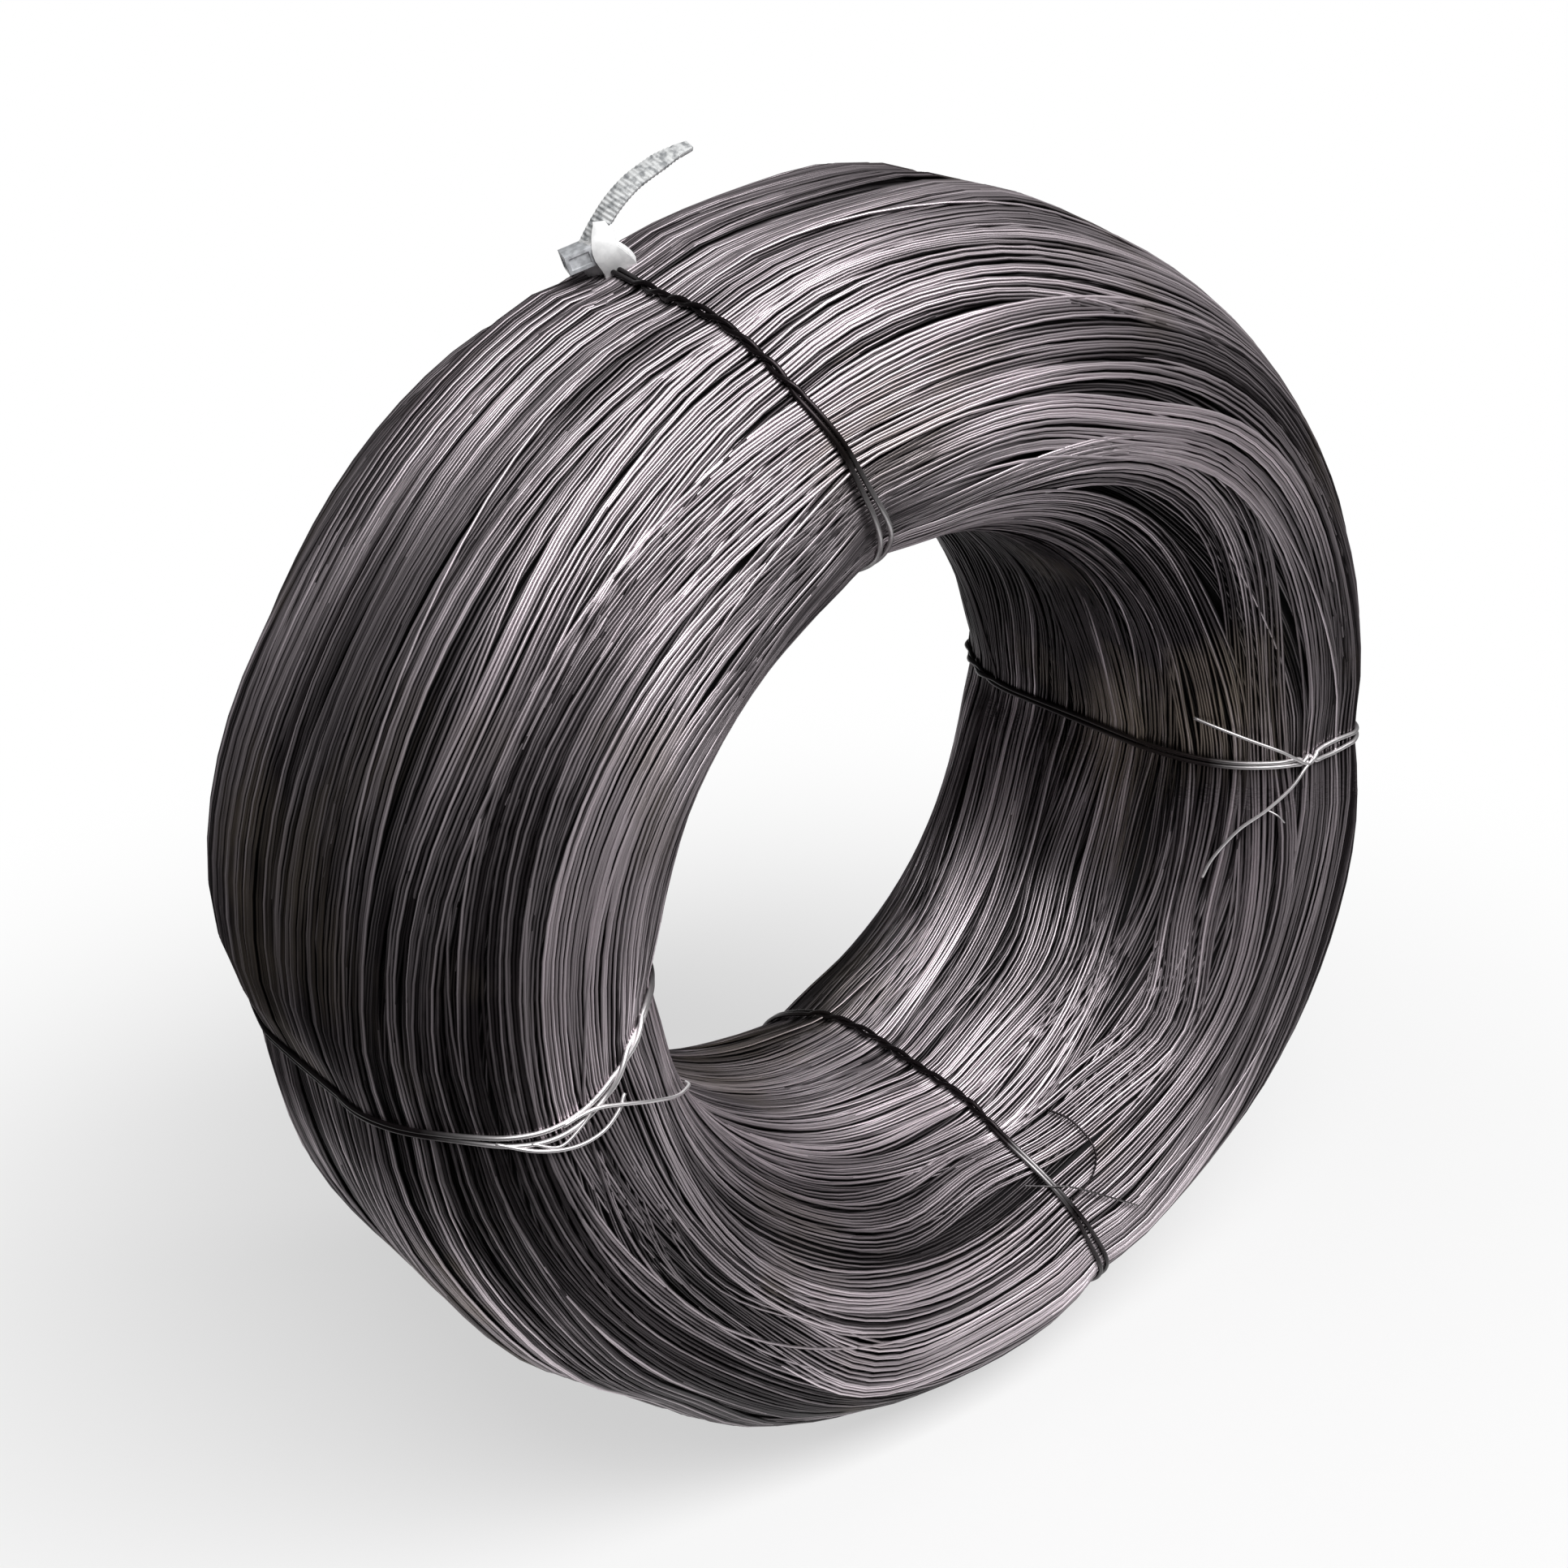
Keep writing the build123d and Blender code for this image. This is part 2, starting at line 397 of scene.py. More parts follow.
def tube(
    line: np.ndarray, normals: np.ndarray, radius: np.ndarray | float, sides: int, closed: bool
) -> tuple[np.ndarray, np.ndarray]:
    """Round wire along many lines at once.

    Args:
        line: Centre points, as lines by points by three.
        normals: A direction across the wire at each point.
        radius: The wire's radius in metres, one for all or one for each point.
        sides: Corners round the wire.
        closed: Whether each line ends where it starts.

    Returns:
        Vertices by three, and quads by four with the faces outwards.
    """
    count, steps, _ = line.shape
    if closed:
        tangent = np.roll(line, -1, axis=1) - np.roll(line, 1, axis=1)
    else:
        tangent = np.gradient(line, axis=1)
    tangent /= np.linalg.norm(tangent, axis=-1, keepdims=True)
    up = normals - tangent * np.sum(normals * tangent, axis=-1, keepdims=True)
    up /= np.linalg.norm(up, axis=-1, keepdims=True)
    side = np.cross(tangent, up)
    angles = np.arange(sides) * FULL_TURN / sides
    spokes = (
        up[:, :, None, :] * np.cos(angles)[None, None, :, None]
        + side[:, :, None, :] * np.sin(angles)[None, None, :, None]
    )
    sizes = np.broadcast_to(radius, (count, steps))[:, :, None, None]
    vertices = (line[:, :, None, :] + sizes * spokes).reshape(-1, 3)
    spans = steps if closed else steps - 1
    wire = np.arange(count)[:, None, None] * steps * sides
    here = np.arange(spans)[None, :, None]
    corner = np.arange(sides)[None, None, :]
    after = (here + 1) % steps
    beside = (corner + 1) % sides
    quads = np.stack(
        [
            wire + here * sides + corner,
            wire + after * sides + corner,
            wire + after * sides + beside,
            wire + here * sides + beside,
        ],
        axis=-1,
    )[..., ::-1]
    return vertices, quads.reshape(-1, 4)


def wire_values(sides: int, **columns: np.ndarray | float) -> dict[str, np.ndarray]:
    """Lists the wire finish's attributes for the corners of tubes.

    Args:
        sides: Corners round the wire.
        columns: Each attribute's values at the centre points, or one value for a whole wire.

    Returns:
        One flat column for each attribute.
    """
    shape = np.broadcast_shapes(*(np.shape(column) for column in columns.values()))
    return {
        key: np.repeat(np.broadcast_to(column, shape).ravel(), sides)
        for key, column in columns.items()
    }


def wander(
    rng: np.random.Generator,
    count: int,
    around: np.ndarray,
    swings: tuple[tuple[int, float], ...],
) -> np.ndarray:
    """Smooth waves round the ring that close on themselves.

    Args:
        rng: Seeded source of chance.
        count: How many different waves.
        around: Angles round the ring in radians.
        swings: Pairs of waves a turn and their usual height.

    Returns:
        One row of heights for each wave.
    """
    total = np.zeros((count, len(around)))
    for waves, height in swings:
        phase = rng.uniform(0, FULL_TURN, (count, 1))
        total += rng.normal(0, height, (count, 1)) * np.cos(waves * around[None, :] + phase)
    return total


def blend_rows(at: np.ndarray, places: np.ndarray, rows: np.ndarray) -> np.ndarray:
    """Blends rows that belong to rising places, at other places."""
    return np.stack([np.interp(at, places, column) for column in rows.T], axis=-1)


def smooth_route(knots: np.ndarray, spacing: float) -> np.ndarray:
    """Rounds a line through points and walks it in even steps.

    Args:
        knots: The points to pass through, one row each.
        spacing: The usual length of a step in metres.

    Returns:
        Points along the rounded line, its two ends included.
    """
    ends = np.vstack([2 * knots[0] - knots[1], knots, 2 * knots[-1] - knots[-2]])
    share = np.linspace(0, 1, ROUTE_STEPS, endpoint=False)[:, None]
    parts = []
    for before, start, stop, after in zip(ends, ends[1:], ends[2:], ends[3:]):
        parts.append(0.5 * (
            2 * start
            + (stop - before) * share
            + (2 * before - 5 * start + 4 * stop - after) * share**2
            + (3 * start - before - 3 * stop + after) * share**3
        ))
    line = np.vstack([*parts, knots[-1:]])
    walked = np.append(0, np.cumsum(np.linalg.norm(np.diff(line, axis=0), axis=1)))
    stops = np.linspace(0, walked[-1], max(3, round(walked[-1] / spacing) + 1))
    return blend_rows(stops, walked, line)


@dataclass(frozen=True)
class Spread:
    """How far a band of neighbouring turns strays, in millimetres, and how its tone differs."""

    turns: int
    drift: float
    rise: float
    waves: tuple[int, ...]
    tone: float = 0.09


@dataclass(frozen=True)
class Slip:
    """A stretch where every other hank slants across its neighbours. Sizes are in millimetres."""

    where: SoftSpot
    lift: float = 0.4


@dataclass(frozen=True)
class Layer:
    """One layer of turns: hanks of bundles of wires. Sizes are in millimetres."""

    name: str
    turns: int
    depth: float
    seed: int
    pieces: int = 2
    sweep: float = 2.6
    shallowest: float = 0.1
    slips: tuple[Slip, ...] = ()
    hank: Spread = Spread(turns=32, drift=2.2, rise=0.42, waves=(1, 2, 3, 4))
    bundle: Spread = Spread(turns=8, drift=0.6, rise=0.22, waves=(1, 2, 3, 5, 7), tone=0.11)
    wire: Spread = Spread(turns=1, drift=0.24, rise=0.18, waves=(2, 3, 5, 8, 11), tone=0.28)


@dataclass
class Winding:
    """The turns of wire that lie at the skin, and the turns below them, painted near-black as
    shade.
    """

    shape: RingShape
    layers: tuple[Layer, ...]
    # Spots of painted light and shade on the turns' tone.
    painted_light_spots: tuple[SoftSpot, ...]
    wire_radius: float = 0.42 * MM
    # Painted shade: how much darker the flanks and undersides of each wire are painted, where its
    # neighbours shade it.
    flank_shade: float = 0.62
    middle_tone: float = 0.56
    tone_range: tuple[float, float] = (-0.6, 1.2)
    tone_waves: tuple[tuple[int, float], ...] = ((1, 0.06), (3, 0.06), (7, 0.05))
    soft_stop: float = 0.25 * MM
    squeeze_reach: float = 7 * MM
    sweep_waves: tuple[int, ...] = (1, 2, 3)
    sweep_bands: tuple[int, ...] = (0, 1, 2, 3)
    sweep_fade: float = 0.5
    streak_seed: int = 1000
    streak_span: float = 50.0
    bottom: float = 6 * MM
    segments: int = 96
    sides: int = 5
    core_depth: float = 4.2 * MM
    core_corners: int = 90
    core_steps: int = 120
    core_crease: float = 60.0

    def bands(self, rng: np.random.Generator, turns: int, usual: int) -> np.ndarray:
        """Splits the turns into bands of neighbours, each 0.5 to 1.5 times the usual size.

        Args:
            rng: Seeded source of chance.
            turns: How many turns there are.
            usual: The usual number of turns in a band.

        Returns:
            The number of the band that each turn belongs to.
        """
        if usual == 1:
            return np.arange(turns)
        sizes = []
        while sum(sizes) < turns:
            sizes.append(int(rng.integers(max(1, usual // 2), usual * 3 // 2 + 1)))
        return np.repeat(np.arange(len(sizes)), sizes)[:turns]

    def sweeping(
        self, rng: np.random.Generator, base: np.ndarray, around: np.ndarray, height: float
    ) -> np.ndarray:
        """Slow drift that neighbouring turns share, in metres.

        Args:
            rng: Seeded source of chance.
            base: Each turn's usual distance along the skin.
            around: Angles round the ring in radians.
            height: Usual height of each wave in metres.

        Returns:
            One row of drifts for each turn.
        """
        total = np.zeros((len(base), len(around)))
        lap = base[:, None] / self.shape.section.girth * FULL_TURN
        for waves in self.sweep_waves:
            for across in self.sweep_bands:
                phase, turn = rng.uniform(0, FULL_TURN, 2)
                size = height * rng.normal(0, 1) / (1 + self.sweep_fade * across) / math.sqrt(waves)
                wave = np.cos(waves * around[None, :] + phase)
                total += size * wave * np.cos(across * lap + turn)
        return total

    def layer_lines(self, layer: Layer) -> dict[str, np.ndarray]:
        """Works out where a layer's turns run.

        Args:
            layer: The layer's sizes.

        Returns:
            Angles, distances along the skin, depths and tones, one row for each turn.
        """
        rng = np.random.default_rng(layer.seed)
        around = np.arange(self.segments) * FULL_TURN / self.segments
        base = (np.arange(layer.turns) + 0.5) * self.shape.section.girth / layer.turns
        walked = base[:, None] + self.sweeping(rng, base, around, layer.sweep * MM)
        depth = np.full(walked.shape, layer.depth * MM)
        tone = np.full(walked.shape, self.middle_tone)
        for spread in (layer.hank, layer.bundle, layer.wire):
            band = self.bands(rng, layer.turns, spread.turns)
            count = int(band.max()) + 1
            fade = 1 / math.sqrt(len(spread.waves) / 2)
            swings = tuple((waves, spread.drift * MM * fade) for waves in spread.waves)
            rises = tuple((waves, spread.rise * MM * fade) for waves in spread.waves)
            walked += wander(rng, count, around, swings)[band]
            depth += wander(rng, count, around, rises)[band]
            tone += spread.tone * rng.normal(0, 1, (count, 1))[band]
            if spread is layer.hank:
                self.slip(layer, band, around, walked, depth)
        tone += wander(rng, layer.turns, around, self.tone_waves)
        facing = np.degrees(self.shape.section.facing(walked))
        # Painted light and shade: the spots lighten or darken the turns' tone where the coil is lit
        # or shaded.
        for painted_spot in self.painted_light_spots:
            tone += painted_spot.share(np.degrees(around)[None, :], facing)
        pull = self.shape.pull(around[None, :], walked, self.squeeze_reach)
        depth += pull * np.maximum(0, layer.depth * MM - depth)
        least = layer.shallowest * MM
        depth = least + np.logaddexp(0, (depth - least) / self.soft_stop) * self.soft_stop
        return {
            "around": np.broadcast_to(around, walked.shape),
            "walked": walked,
            "depth": depth,
            "tone": np.clip(tone, *self.tone_range),
        }

    def slip(
        self,
        layer: Layer,
        band: np.ndarray,
        around: np.ndarray,
        walked: np.ndarray,
        depth: np.ndarray,
    ) -> None:
        """Slants every other hank across its neighbours, a little above them.

        Args:
            layer: The layer with its slips.
            band: The number of each turn's hank.
            around: Angles round the ring in radians.
            walked: Distances along the skin, changed in place.
            depth: Depths in metres, changed in place.
        """
        odd = (band % 2 == 1)[:, None]
        degrees = np.degrees(around)[None, :]
        for slip in layer.slips:
            middle = walked.mean(axis=1, keepdims=True)
            facing = np.degrees(self.shape.section.facing(middle))
            share = slip.where.share(degrees, facing) * odd
            walked += share * MM
            depth -= slip.lift * MM * np.abs(share / slip.where.value)

    def turns_mesh(self, name: str, lines: dict[str, np.ndarray], turn: np.ndarray) -> Object:
        """Makes some turns as one mesh.

        Args:
            name: The piece's name.
            lines: The rows of angles, distances, depths and tones of these turns.
            turn: A number for each turn, which its streaks start from.

        Returns:
            The object, not dressed yet.
        """
        centre, normals = self.shape.points(lines["around"], lines["walked"], lines["depth"])
        vertices, quads = tube(centre, normals, self.wire_radius, self.sides, closed=True)
        # Painted shade: deep grows with a turn's depth below the skin and on the wire's corners
        # that face away from the skin, and the finish darkens the colour by it.
        values = wire_values(
            self.sides,
            tone=lines["tone"],
            deep=np.clip(lines["depth"] / self.bottom, 0, 1),
            run=lines["around"] * self.shape.section.outer_radius,
            turn=turn[:, None],
        )
        below = (1 - np.cos(np.arange(self.sides) * FULL_TURN / self.sides)) / 2
        values["deep"] = values["deep"] + self.flank_shade * np.tile(below, lines["depth"].size)
        return linked_mesh(name, vertices, quads, values)

    def layer_meshes(self, layer: Layer) -> list[Object]:
        """Makes a layer's turns, as pieces of neighbouring turns.

        Args:
            layer: The layer's sizes.

        Returns:
            The objects, not dressed yet.
        """
        lines = self.layer_lines(layer)
        rng = np.random.default_rng(layer.seed + self.streak_seed)
        turn = rng.uniform(0, self.streak_span, layer.turns)
        pieces = []
        for number, rows in enumerate(np.array_split(np.arange(layer.turns), layer.pieces)):
            some = {key: column[rows] for key, column in lines.items()}
            pieces.append(self.turns_mesh(f"turns_{layer.name}_{number + 1}", some, turn[rows]))
        return pieces

    def core_mesh(self) -> Object:
        """Spins the ring of turns, painted dark as shade, that lies below the last layer, and pulls
        it in at the ties.

        Returns:
            The object, not dressed yet.
        """
        section = self.shape.section
        deselect_all()
        bpy.ops.mesh.primitive_circle_add(vertices=self.core_corners, radius=section.half_width)
        piece = active_object("turns_below")
        walked = np.arange(self.core_corners) * section.girth / self.core_corners
        still = np.zeros(self.core_corners)
        places, _ = section.points(still, walked, still + self.core_depth)
        for vertex, place in zip(piece.data.vertices, places):
            vertex.co = place
        bpy.ops.object.mode_set(mode="EDIT")
        bpy.ops.mesh.select_all(action="SELECT")
        bpy.ops.mesh.spin(
            steps=self.core_steps, angle=FULL_TURN, center=(0, 0, 0), axis=(0, 1, 0)
        )
        bpy.ops.mesh.select_all(action="SELECT")
        bpy.ops.mesh.remove_doubles(threshold=SEAM_MERGE)
        bpy.ops.mesh.normals_make_consistent(inside=False)
        bpy.ops.object.mode_set(mode="OBJECT")
        spun = np.empty(len(piece.data.vertices) * 3)
        piece.data.vertices.foreach_get("co", spun)
        spun = spun.reshape(-1, 3)
        out = np.hypot(spun[:, 0], spun[:, 2])
        apart = np.hypot(places[:, 0] - out[:, None], places[:, 1] - spun[:, 1, None])
        laid, _ = self.shape.points(
            np.arctan2(spun[:, 2], spun[:, 0]),
            walked[apart.argmin(axis=1)],
            np.full(len(spun), self.core_depth),
        )
        piece.data.vertices.foreach_set("co", laid.ravel())
        piece.data.update()
        smooth_by_angle(piece, self.core_crease)
        return piece


# Wire ties


@dataclass(frozen=True)
class LooseEnd:
    """A free end of wire that lies over the coil.

    Each place gives degrees round the ring, the distance along the skin and the height above
    it in millimetres.
    """

    places: tuple[Triple, ...]
    radius: float = 0.45
    # Painted highlight: how much lighter this end is painted.
    painted_highlight: float = 1.0


@dataclass
class WireTie:
    """Two strands of wire bound round the ring's section. Sizes are in millimetres."""

    node: Node
    shape: RingShape
    parting: Profile
    # Painted highlight: the stretches where the strands are painted lighter, mostly on the front
    # face.
    painted_highlight: Profile
    twists: tuple[tuple[float, float, int], ...] = ()
    ends: tuple[LooseEnd, ...] = ()
    strand_radius: float = 0.6
    depth: float = -0.2
    twist_swell: float = 0.5
    twist_rise: float = 0.55
    stray_waves: tuple[tuple[int, float], ...] = ((2, 0.12), (5, 0.1), (9, 0.06))
    plain_tone: float = -0.25
    # How strongly the painted highlight lifts the strands' tone.
    painted_highlight_gain: float = 1.35
    strand_streak: float = 7.0
    end_streak: float = 11.0
    steps: int = 420
    sides: int = 10
    end_lift: float = 0.35
    end_step: float = 0.9
    end_sides: int = 8
    tip_share: float = 0.1
    seed: int = 3

    def strand(self, side: int) -> Object:
        """Winds one of the two strands once round the section.

        Args:
            side: 1 or -1, for the strand's side of the tie.

        Returns:
            The closed strand.
        """
        girth = self.shape.section.girth
        walked = np.arange(self.steps) * girth / self.steps
        phase = np.zeros(self.steps)
        for start, stop, turns in self.twists:
            share = np.clip((walked / MM - start) / (stop - start), 0, 1)
            phase += FULL_TURN * turns * share
        rng = np.random.default_rng(self.seed + side)
        stray = wander(rng, 1, walked / girth * FULL_TURN, self.stray_waves)[0]
        across = side * self.parting.at(walked, girth) * np.cos(phase) + stray
        stacked = np.sin(phase)
        swell = self.twist_swell * np.abs(stacked) * self.strand_radius
        depth = self.depth - swell - side * self.twist_rise * stacked
        table = self.shape.section.table
        radius = np.interp(walked, table[:, 0], table[:, 1])
        around = np.radians(self.shape.ties[self.node].at(walked, girth)) + across * MM / radius
        centre, normals = self.shape.points(around, walked, depth * MM)
        vertices, quads = tube(
            centre[None], normals[None], self.strand_radius * MM, self.sides, closed=True
        )
        # Painted highlight: the strands' tone is lifted along the stretches given for the tie.
        values = wire_values(
            self.sides,
            tone=self.plain_tone + self.painted_highlight_gain * self.painted_highlight.at(walked, girth),
            deep=0.0,
            run=walked,
            turn=self.strand_streak + side,
        )
        return linked_mesh(f"{self.node.value}_wires", vertices, quads, values)

    def loose_end(self, number: int, end: LooseEnd) -> Object:
        """Lays one free end, closed at both of its tips.

        Args:
            number: Its place in the list.
            end: Where it runs.

        Returns:
            The finished end.
        """
        places = np.array(end.places)
        knots, normals = self.shape.points(
            np.radians(places[:, 0]), places[:, 1] * MM, (-places[:, 2] - self.end_lift) * MM
        )
        line = smooth_route(knots, self.end_step * MM)
        count = len(line)
        nearest = np.linalg.norm(line[:, None] - knots[None], axis=-1).argmin(axis=1)
        twice = ((1, 1), (0, 0))
        line = np.pad(line, twice, mode="edge")
        line[0] -= self.tip_share * (line[2] - line[1])
        line[-1] += self.tip_share * (line[-2] - line[-3])
        vertices, quads = tube(
            line[None],
            np.pad(normals[nearest], twice, mode="edge")[None],
            np.pad(np.full(count, end.radius * MM), 1)[None],
            self.end_sides,
            closed=False,
        )
        # Painted highlight: the end's tone is lifted by its given share.
        piece = linked_mesh(f"{self.node.value}_end", vertices, quads, wire_values(
            self.end_sides,
            tone=self.plain_tone + self.painted_highlight_gain * end.painted_highlight,
            deep=0.0,
            run=np.pad(np.arange(count) * self.end_step * MM, 1, mode="edge"),
            turn=self.end_streak + number,
        ))
        select_only(piece)
        bpy.ops.object.mode_set(mode="EDIT")
        bpy.ops.mesh.select_all(action="SELECT")
        bpy.ops.mesh.remove_doubles(threshold=TIP_MERGE)
        bpy.ops.object.mode_set(mode="OBJECT")
        return piece

    def build(self, material: Material) -> None:
        """Builds both strands and the loose ends as one piece and dresses it."""
        whole = self.strand(1)
        others = [self.strand(-1)]
        others += [self.loose_end(number, end) for number, end in enumerate(self.ends)]
        select_only(whole)
        for other in others:
            other.select_set(True)
        bpy.ops.object.join()
        finish_piece(whole, self.node, material)


# Cable tie


@dataclass(frozen=True)
class StrapRun:
    """One stretch of the strap: its route, the ways its width points and its widths at both ends.

    Sizes are in millimetres, in the cable tie's own axes.
    """

    name: str
    route: tuple[Triple, ...]
    across: tuple[Triple, Triple]
    widths: tuple[float, float] = (4.8, 4.8)
    ribbed: bool = False


@dataclass
class CableTie:
    """Nylon cable tie closed round the top tie: head, loop and ribbed tail.

    Its own axes stand on the rim: x to the right, y out from the ring and z to the front. Its
    sizes are in millimetres.
    """

    around: float = 110.5
    radius: float = 156.9
    back: float = 13.5
    strap_thickness: float = 1.2
    head_size: Triple = (6.6, 4.5, 5.8)
    head_middle: Triple = (-6.3, 3.8, 0.0)
    head_turn: float = -20.0
    head_edge: float = 0.35
    panel_edge: float = 0.9
    panel_depth: float = 0.35
    slot_edge: float = 1.1
    slot_depth: float = 2.0
    tooth: float = 0.55
    tooth_depth: float = 0.5
    tip_length: float = 9.0
    tip_width: float = 2.6
    bare_tip_share: float = 0.4
    strap_step: float = 0.9
    strap_edge: float = 0.16
    sharp_angle: float = 50.0
    head_crease: float = 40.0
    strap_crease: float = 38.0
    loop: StrapRun = StrapRun(
        "cable_tie_loop",
        route=(
            (-5.2, 4.6, 0.4), (-2.8, 5.6, 1.0), (-0.4, 4.8, 2.2), (1.6, 2.6, 3.2), (2.9, 0.0, 3.8),
            (3.0, -1.8, 3.6), (1.6, -2.7, 2.6), (-1.4, -2.7, 1.2), (-3.2, -1.2, 0.4),
            (-3.8, 1.0, 0.0), (-4.4, 3.0, 0.0),
        ),
        across=((0.2, 0.1, 0.95), (0.56, 0.32, 0.77)),
    )
    band: StrapRun = StrapRun(
        "cable_tie_band",
        route=(
            (1.3, 9.0, 2.2), (0.3, 7.6, 3.2), (-0.9, 6.2, 4.2), (-1.8, 3.8, 5.0), (-0.9, 1.2, 5.3),
            (0.1, -1.0, 5.0), (0.5, -2.6, 4.4),
        ),
        across=((0.8, -0.3, 0.5), (0.94, 0.0, 0.34)),
        widths=(4.2, 8.0),
    )
    tail: StrapRun = StrapRun(
        "cable_tie_tail",
        route=(
            (-3.4, 4.6, 0.4), (-1.2, 6.8, 1.2), (1.4, 8.9, 1.8), (5.5, 11.6, 2.6),
            (11.0, 13.6, 3.0), (17.0, 14.4, 3.2), (23.0, 14.6, 3.2), (28.6, 14.0, 3.0),
        ),
        across=((0.3, -0.42, 0.83), (0.12, -0.47, 0.87)),
        ribbed=True,
    )

    def frame_matrix(self) -> Matrix:
        """From the cable tie's own axes in metres to the row frame."""
        angle = math.radians(self.around)
        out = Vector((math.cos(angle), 0, math.sin(angle)))
        right = Vector((math.sin(angle), 0, -math.cos(angle)))
        front = right.cross(out)
        place = out * self.radius * MM + Vector((0, self.back * MM, 0))
        return Matrix((
            (right.x, out.x, front.x, place.x),
            (right.y, out.y, front.y, place.y),
            (right.z, out.z, front.z, place.z),
            (0, 0, 0, 1),
        ))

    def select_faces(self, piece: Object, direction: Triple) -> None:
        """Selects the faces that look one way, and enters edit mode.

        Args:
            piece: The piece to work on.
            direction: The way that the faces look.
        """
        select_only(piece)
        bpy.context.tool_settings.mesh_select_mode = (False, False, True)
        for parts in (piece.data.vertices, piece.data.edges):
            parts.foreach_set("select", [False] * len(parts))
        for face in piece.data.polygons:
            face.select = face.normal.dot(Vector(direction)) > SAME_WAY
        bpy.ops.object.mode_set(mode="EDIT")

    def bevel(self, piece: Object, width: float, segments: int) -> None:
        """Rounds a piece's sharp edges.

        Args:
            piece: The piece to round.
            width: Width of the rounding in millimetres.
            segments: Steps across it.
        """
        modifier = piece.modifiers.new("edges", "BEVEL")
        modifier.width = width * MM
        modifier.segments = segments
        modifier.limit_method = "ANGLE"
        modifier.angle_limit = math.radians(self.sharp_angle)
        select_only(piece)
        bpy.ops.object.modifier_apply(modifier=modifier.name)

    def head(self) -> Object:
        """Models the head with its slot on the left and a sunk panel in front.

        Returns:
            The head in its own axes.
        """
        deselect_all()
        bpy.ops.mesh.primitive_cube_add(
            size=1,
            location=[value * MM for value in self.head_middle],
            scale=[value * MM for value in self.head_size],
        )
        piece = active_object("cable_tie_head")
        place_mesh(piece, Matrix.Identity(4))
        self.select_faces(piece, (-1, 0, 0))
        bpy.ops.mesh.inset(thickness=self.slot_edge * MM)
        bpy.ops.mesh.extrude_region_move(
            TRANSFORM_OT_translate={"value": (self.slot_depth * MM, 0, 0)}
        )
        bpy.ops.object.mode_set(mode="OBJECT")
        self.select_faces(piece, (0, 0, 1))
        bpy.ops.mesh.inset(thickness=self.panel_edge * MM)
        bpy.ops.mesh.extrude_region_move(
            TRANSFORM_OT_translate={"value": (0, 0, -self.panel_depth * MM)}
        )
        bpy.ops.object.mode_set(mode="OBJECT")
        self.bevel(piece, self.head_edge, segments=3)
        smooth_by_angle(piece, self.head_crease)
        middle = Matrix.Translation(Vector(self.head_middle) * MM)
        turn = Matrix.Rotation(math.radians(self.head_turn), 4, "Y")
        place_mesh(piece, middle @ turn @ middle.inverted())
        return piece

    def strap(self, run: StrapRun) -> Object:
        """Extrudes a straight strap step by step and lays it along its route.

        Args:
            run: The stretch of strap, with teeth and a narrowed tip where it is ribbed.

        Returns:
            The strap in the cable tie's own axes.
        """
        spacing = self.tooth if run.ribbed else self.strap_step
        line = smooth_route(np.array(run.route) * MM, spacing * MM)
        count = len(line) - 1
        length = float(np.linalg.norm(np.diff(line, axis=0), axis=1).sum())
        step = length / count
        deselect_all()
        bpy.ops.mesh.primitive_cube_add(
            size=1,
            location=(step / 2, 0, 0),
            scale=(step, self.strap_thickness * MM, run.widths[0] * MM),
        )
        piece = active_object(run.name)
        place_mesh(piece, Matrix.Identity(4))
        self.select_faces(piece, (1, 0, 0))
        thick, wide = 1.0, run.widths[0]
        for number in range(1, count):
            bpy.ops.mesh.extrude_region_move(TRANSFORM_OT_translate={"value": (step, 0, 0)})
            here = (number + 1) * step
            left = (length - here) / MM
            next_wide = float(np.interp(here, (0, length), run.widths))
            if run.ribbed:
                ends = (self.tip_width, next_wide)
                next_wide = float(np.interp(left, (0, self.tip_length), ends))
            beyond_tip = left > self.tip_length * self.bare_tip_share
            toothed = run.ribbed and number % 2 == 1 and beyond_tip
            next_thick = 1 - self.tooth_depth * toothed
            bpy.ops.transform.resize(
                value=(1, next_thick / thick, next_wide / wide), center_override=(here, 0, 0)
            )
            thick, wide = next_thick, next_wide
        bpy.ops.object.mode_set(mode="OBJECT")
        self.bevel(piece, self.strap_edge, segments=2)
        self.lay(piece, line, np.array(run.across), step)
        smooth_by_angle(piece, self.strap_crease)
        return piece

    def lay(self, piece: Object, line: np.ndarray, across: np.ndarray, step: float) -> None:
        """Moves a straight strap's corners onto its route.

        Args:
            piece: The strap, which runs along x.
            line: Even steps along the route, in metres.
            across: The ways the strap's width points at its start and at its end, one row each.
            step: The length of a step.
        """
        run = np.gradient(line, axis=0)
        run /= np.linalg.norm(run, axis=1, keepdims=True)
        share = np.linspace(0, 1, len(line))[:, None]
        wide = across[0] * (1 - share) + across[1] * share
        wide -= run * np.sum(run * wide, axis=1, keepdims=True)
        wide /= np.linalg.norm(wide, axis=1, keepdims=True)
        up = np.cross(wide, run)
        corners = np.empty(len(piece.data.vertices) * 3)
        piece.data.vertices.foreach_get("co", corners)
        corners = corners.reshape(-1, 3)
        at = np.clip(corners[:, 0] / step, 0, len(line) - 1)
        rows = np.arange(len(line))
        laid = (
            blend_rows(at, rows, line)
            + blend_rows(at, rows, up) * corners[:, 1:2]
            + blend_rows(at, rows, wide) * corners[:, 2:3]
        )
        piece.data.vertices.foreach_set("co", laid.ravel())
        piece.data.update()

